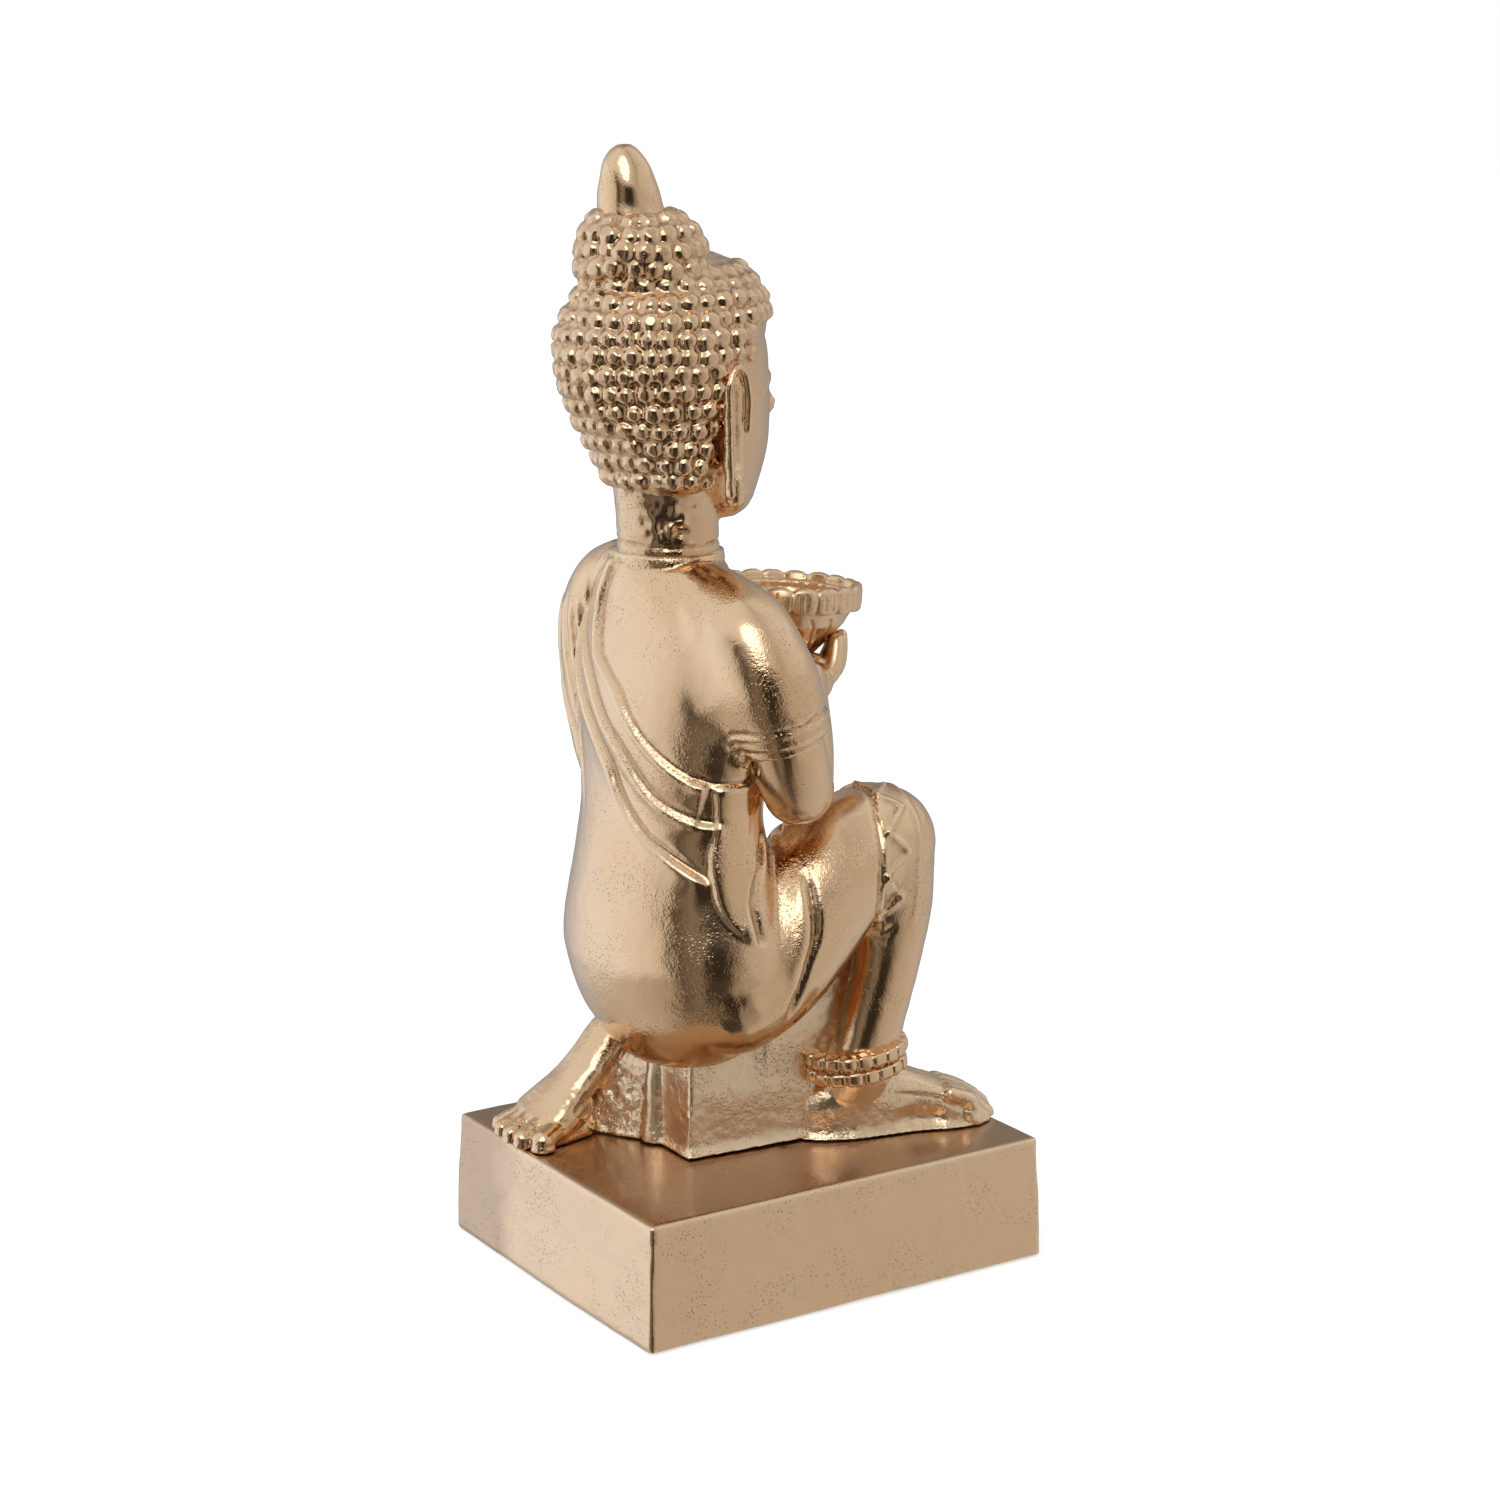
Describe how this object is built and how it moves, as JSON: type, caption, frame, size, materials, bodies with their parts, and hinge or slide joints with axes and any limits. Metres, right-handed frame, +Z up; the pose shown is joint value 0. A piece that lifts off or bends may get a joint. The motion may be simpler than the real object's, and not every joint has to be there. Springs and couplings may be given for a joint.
{
  "type": "buddha statue",
  "caption": "Kneeling devotional figure in a draped robe holding up a lotus offering bowl, cast in gold-coloured aluminium sections, pinned together and bolted to a hollow plinth.",
  "frame": {"origin": "on the ground under the middle of the plinth", "axes": "+Z up; the figure faces -Y and its right side is -X"},
  "size_m": [0.1404, 0.1676, 0.4],
  "materials": {
    "gold_cast_aluminium": "champagne-gold tinted lacquer over sand-cast aluminium: pitted satin with polished high spots",
    "zinc_steel": "zinc plated",
    "felt": "dark self-adhesive felt"
  },
  "bodies": {
    "root": {"plinth": "gold_cast_aluminium", "seat_block": "gold_cast_aluminium", "body": "gold_cast_aluminium", "head": "gold_cast_aluminium", "finial": "gold_cast_aluminium", "right_ear": "gold_cast_aluminium", "left_ear": "gold_cast_aluminium", "right_arm": "gold_cast_aluminium", "left_arm": "gold_cast_aluminium", "bowl": "gold_cast_aluminium", "right_foot": "gold_cast_aluminium", "left_foot": "gold_cast_aluminium", "anklet": "gold_cast_aluminium", "neck_pin": "zinc_steel", "finial_pin": "zinc_steel", "right_arm_pin": "zinc_steel", "left_arm_pin": "zinc_steel", "right_bowl_dowel": "zinc_steel", "left_bowl_dowel": "zinc_steel", "washer_seat_rear": "zinc_steel", "washer_seat_front": "zinc_steel", "washer_right_foot": "zinc_steel", "washer_left_knee": "zinc_steel", "washer_left_foot": "zinc_steel", "bolt_seat_rear": "zinc_steel", "bolt_seat_front": "zinc_steel", "bolt_right_foot": "zinc_steel", "bolt_left_knee": "zinc_steel", "bolt_left_foot": "zinc_steel", "felt_pad_front_right": "felt", "felt_pad_front_left": "felt", "felt_pad_rear_right": "felt", "felt_pad_rear_left": "felt"}
  },
  "joints": []
}
